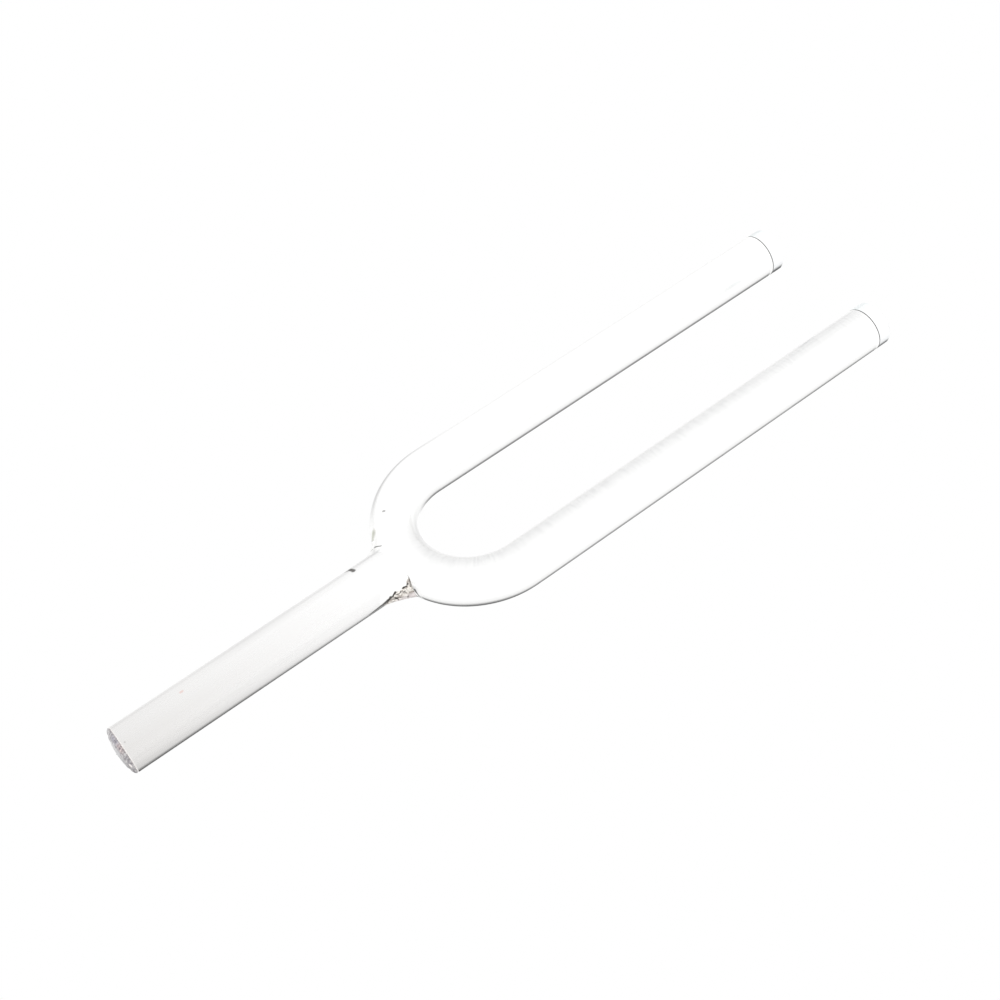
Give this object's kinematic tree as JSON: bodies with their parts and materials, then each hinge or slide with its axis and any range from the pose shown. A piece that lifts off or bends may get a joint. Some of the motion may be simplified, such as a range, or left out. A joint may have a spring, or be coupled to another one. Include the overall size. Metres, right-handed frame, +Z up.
{
  "type": "tuning fork",
  "caption": "U-shaped tuning fork of round aluminium tube with plugged tine tips and a welded round stem with a domed end.",
  "frame": {"origin": "on the ground under the middle of the fork as it lies flat", "axes": "+X along the fork from the stem towards the tine tips, +Y across the tines, +Z up, square to the plane of the fork"},
  "size_m": [0.2888, 0.068, 0.016],
  "materials": {
    "fork_metal": "bright satin, drawn tube lightly polished",
    "stem_metal": "satin with faint lengthwise draw lines",
    "weld_metal": "rippled as-welded bead, dressed smooth on top",
    "tine_plug_metal": "turned and polished, slightly cooler than the tube",
    "stem_plug_metal": "rough dressed dome with heat tint"
  },
  "bodies": {
    "root": {"fork_tube": "fork_metal", "stem_tube": "stem_metal", "weld_bead": "weld_metal", "tine_plug_left": "tine_plug_metal", "tine_plug_right": "tine_plug_metal", "stem_plug": "stem_plug_metal"}
  },
  "joints": []
}
